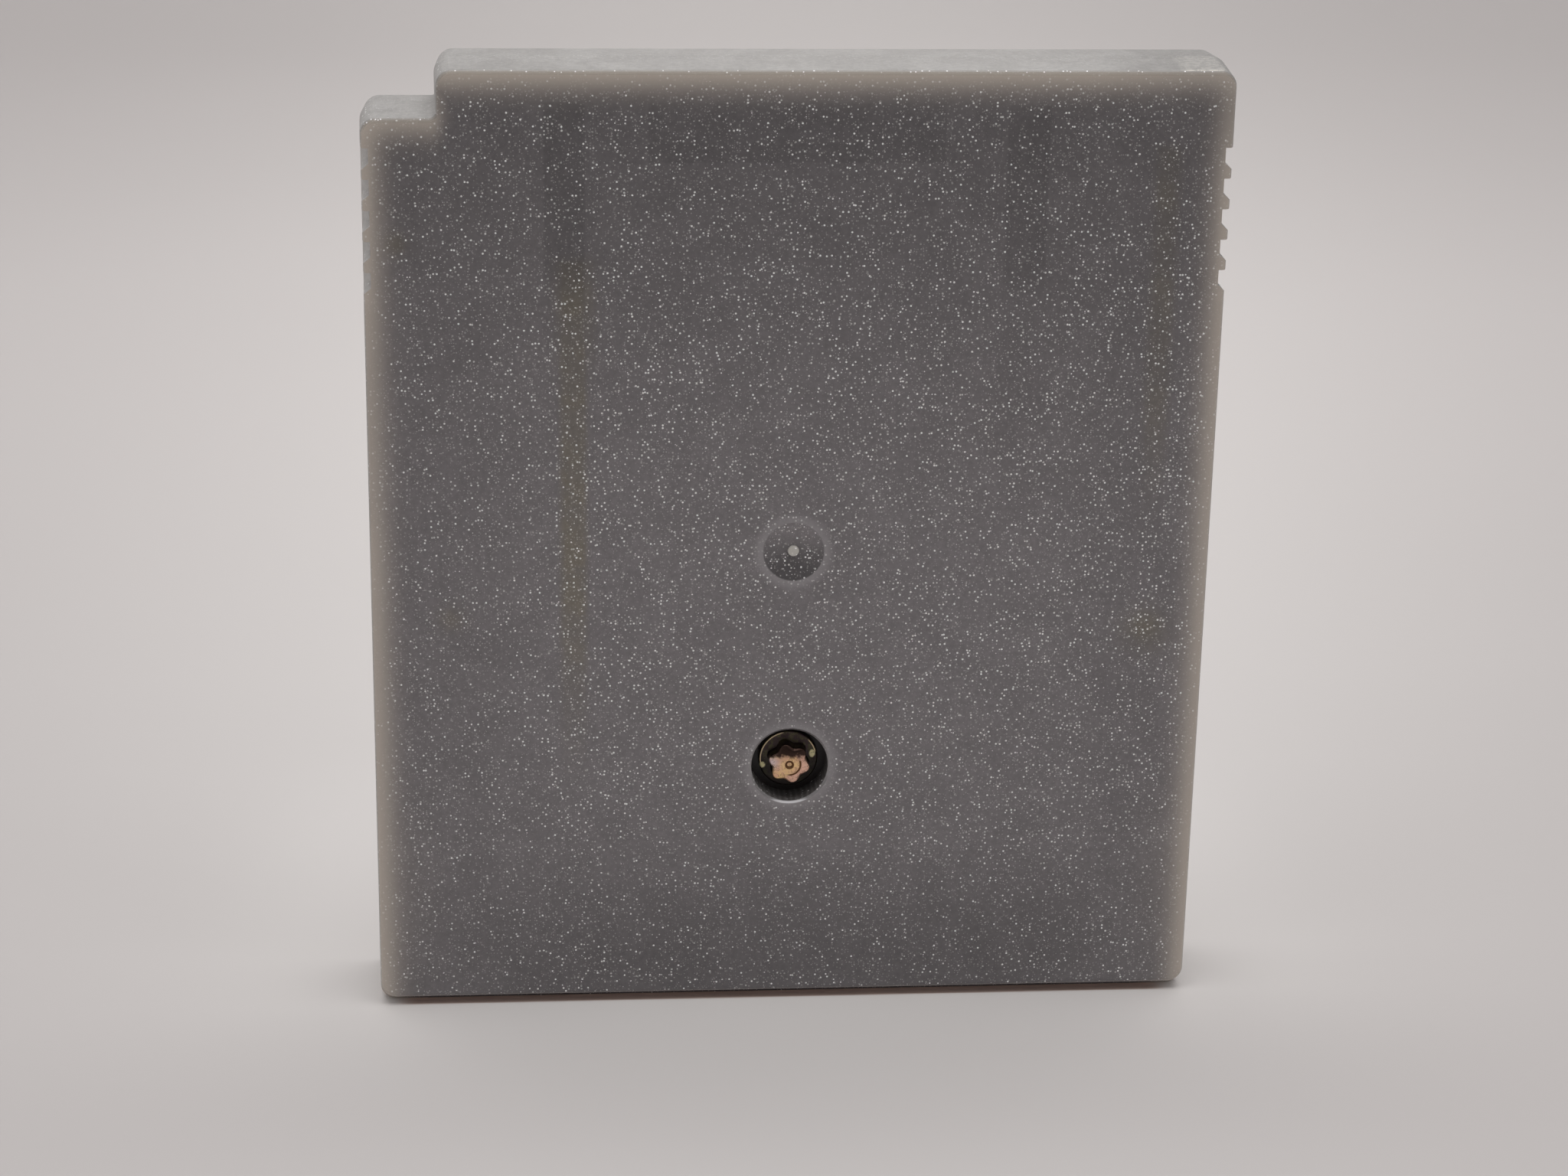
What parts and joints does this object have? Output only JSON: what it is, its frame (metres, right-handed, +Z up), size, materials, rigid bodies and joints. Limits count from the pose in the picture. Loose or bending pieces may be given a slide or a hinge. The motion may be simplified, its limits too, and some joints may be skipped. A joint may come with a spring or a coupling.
{
  "type": "game cartridge",
  "caption": "Flat moulded game cartridge with a corner notch, grip grooves, an edge connector in an open-ended pocket and a security screw in the back.",
  "frame": {"origin": "middle of the bottom, where the connector edge stands on a surface", "axes": "+X to the right seen from the back face, +Y from the back face to the label face, +Z up from the connector edge to the notched top"},
  "size_m": [0.057, 0.0076, 0.0661],
  "materials": {
    "shell_plastic": "moulded, slightly see-through, with fine silver glitter in it",
    "screw_steel": "yellow-brown plated steel, slightly tarnished",
    "board_laminate": "glass-fibre laminate under green solder mask",
    "contact_gold": "gold-plated copper",
    "package_resin": "matt black moulding resin",
    "lead_tin": "tinned metal",
    "cell_steel": "nickel-plated steel can",
    "tab_nickel": "nickel strip",
    "crystal_can": "drawn nickel-silver can",
    "capacitor_ceramic": "fired ceramic",
    "resistor_body": "black glaze"
  },
  "bodies": {
    "root": {"back_shell": "shell_plastic", "front_shell": "shell_plastic", "security_screw": "screw_steel", "circuit_board": "board_laminate", "edge_contacts": "contact_gold", "rom_chip": "package_resin", "rom_leads": "lead_tin", "ram_chip": "package_resin", "ram_leads": "lead_tin", "mapper_chip": "package_resin", "mapper_leads": "lead_tin", "supervisor_chip": "package_resin", "supervisor_leads": "lead_tin", "backup_battery": "cell_steel", "battery_tab_positive": "tab_nickel", "battery_tab_negative": "tab_nickel", "clock_crystal": "crystal_can", "crystal_leads": "lead_tin", "capacitors": "capacitor_ceramic", "capacitor_ends": "lead_tin", "resistors": "resistor_body", "resistor_ends": "lead_tin", "diode": "package_resin", "diode_leads": "lead_tin"}
  },
  "joints": []
}
